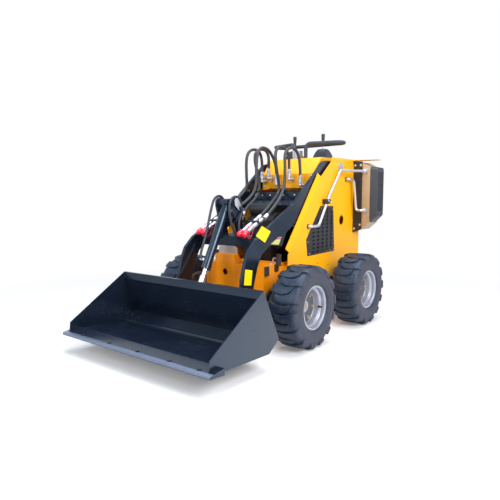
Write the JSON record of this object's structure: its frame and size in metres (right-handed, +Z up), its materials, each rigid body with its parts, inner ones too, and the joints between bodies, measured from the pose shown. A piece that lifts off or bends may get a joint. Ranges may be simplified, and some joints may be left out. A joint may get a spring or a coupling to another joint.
{
  "type": "mini loader",
  "caption": "Compact four-wheel walk-behind loader with lift arms pivoted at the top rear, a bucket on a tilt cylinder, joystick console and side-mounted oil cooler.",
  "frame": {"origin": "on the ground under the middle of the overall box", "axes": "+X to the machine's left, -Y forward towards the bucket, +Z up"},
  "size_m": [1.19, 2.198, 1.399],
  "materials": {
    "alu": "mill finish",
    "black_paint": "gloss paint",
    "black_sheet": "satin powder coat",
    "cast": "painted casting",
    "chrome": "polished rod",
    "grey_plate": "satin paint",
    "grip": "foam sleeve",
    "hose_rubber": "smooth rubber",
    "red_cap": "moulded",
    "rim_paint": "silver paint",
    "tyre_rubber": "new rubber",
    "white_can": "gloss paint",
    "yellow_paint": "gloss powder coat",
    "zinc": "zinc plated"
  },
  "bodies": {
    "chassis": {"chassis_frame": "yellow_paint", "side_panel_left": "yellow_paint", "side_panel_right": "yellow_paint", "grilles": "black_sheet", "tower_console": "yellow_paint", "rear_panel": "yellow_paint", "engine": "cast", "guard_plate": "grey_plate", "oil_filter": "white_can", "handlebar": "grip", "joysticks": "hose_rubber", "valve_block": "zinc", "hose_ports": "zinc", "cooler_bracket": "black_sheet", "cooler_core": "alu", "cooler_shroud": "black_sheet", "cooler_pipes": "zinc", "hub_motors": "cast", "lifting_eyes": "zinc", "arm_stops": "black_sheet", "pivot_pins": "zinc"},
    "boom": {"lift_arm_left": "black_paint", "lift_arm_right": "black_paint", "cross_plate": "black_paint", "cross_member": "black_paint", "couplers": "zinc", "coupler_caps": "red_cap", "coupler_brackets": "black_sheet", "hoses": "hose_rubber"},
    "bucket": {"bucket_shell": "black_paint", "hitch_plate": "black_paint"},
    "lift_barrel_left_body": {"lift_barrel_left": "black_paint"},
    "lift_rod_left_body": {"lift_rod_left": "chrome"},
    "lift_barrel_right_body": {"lift_barrel_right": "black_paint"},
    "lift_rod_right_body": {"lift_rod_right": "chrome"},
    "tilt_barrel_body": {"tilt_barrel": "black_paint"},
    "tilt_rod_body": {"tilt_rod": "chrome"},
    "wheel_front_left": {"tyre_front_left": "tyre_rubber", "rim_front_left": "rim_paint"},
    "wheel_front_right": {"tyre_front_right": "tyre_rubber", "rim_front_right": "rim_paint"},
    "wheel_rear_left": {"tyre_rear_left": "tyre_rubber", "rim_rear_left": "rim_paint"},
    "wheel_rear_right": {"tyre_rear_right": "tyre_rubber", "rim_rear_right": "rim_paint"}
  },
  "joints": [
    {"name": "boom_lift", "type": "hinge", "parent": "chassis", "child": "boom", "pos_m": [0, 0.7145, 1.139], "axis": [-1, 0, 0], "range_deg": [-3.4, 60], "deforming": ["hoses"]},
    {"name": "bucket_tilt", "type": "hinge", "parent": "boom", "child": "bucket", "pos_m": [0, -0.4275, 0.215], "axis": [1, 0, 0], "range_deg": [-15, 92]},
    {"name": "lift_barrel_left_swing", "type": "hinge", "parent": "chassis", "child": "lift_barrel_left_body", "pos_m": [0.207, 0.8675, 0.3], "axis": [-1, 0, 0], "range_deg": [-2, 24]},
    {"name": "lift_rod_left_slide", "type": "slide", "parent": "lift_barrel_left_body", "child": "lift_rod_left_body", "axis": [0, -0.8393, 0.5437], "range_m": [-0.033, 0.545]},
    {"name": "lift_barrel_right_swing", "type": "hinge", "parent": "chassis", "child": "lift_barrel_right_body", "pos_m": [-0.207, 0.8675, 0.3], "axis": [-1, 0, 0], "range_deg": [-2, 24]},
    {"name": "lift_rod_right_slide", "type": "slide", "parent": "lift_barrel_right_body", "child": "lift_rod_right_body", "axis": [0, -0.8393, 0.5437], "range_m": [-0.033, 0.545]},
    {"name": "tilt_barrel_swing", "type": "hinge", "parent": "boom", "child": "tilt_barrel_body", "pos_m": [0, -0.2525, 0.885], "axis": [1, 0, 0], "range_deg": [-1, 5]},
    {"name": "tilt_rod_slide", "type": "slide", "parent": "tilt_barrel_body", "child": "tilt_rod_body", "axis": [0, -0.4702, -0.8826], "range_m": [-0.042, 0.25]},
    {"name": "wheel_front_left_spin", "type": "hinge", "parent": "chassis", "child": "wheel_front_left", "pos_m": [0.477, -0.1075, 0.255], "axis": [-1, 0, 0], "continuous": true},
    {"name": "wheel_front_right_spin", "type": "hinge", "parent": "chassis", "child": "wheel_front_right", "pos_m": [-0.477, -0.1075, 0.255], "axis": [-1, 0, 0], "continuous": true},
    {"name": "wheel_rear_left_spin", "type": "hinge", "parent": "chassis", "child": "wheel_rear_left", "pos_m": [0.477, 0.6525, 0.255], "axis": [-1, 0, 0], "continuous": true},
    {"name": "wheel_rear_right_spin", "type": "hinge", "parent": "chassis", "child": "wheel_rear_right", "pos_m": [-0.477, 0.6525, 0.255], "axis": [-1, 0, 0], "continuous": true}
  ],
  "couplings": [
    {"joint": "lift_barrel_left_swing", "follows": "boom_lift", "ratio": 0.387},
    {"joint": "lift_rod_left_slide", "follows": "boom_lift", "m_per_rad": 0.517},
    {"joint": "lift_barrel_right_swing", "follows": "boom_lift", "ratio": 0.387},
    {"joint": "lift_rod_right_slide", "follows": "boom_lift", "m_per_rad": 0.517},
    {"joint": "tilt_barrel_swing", "follows": "bucket_tilt", "ratio": 0.05},
    {"joint": "tilt_rod_slide", "follows": "bucket_tilt", "m_per_rad": 0.152}
  ]
}
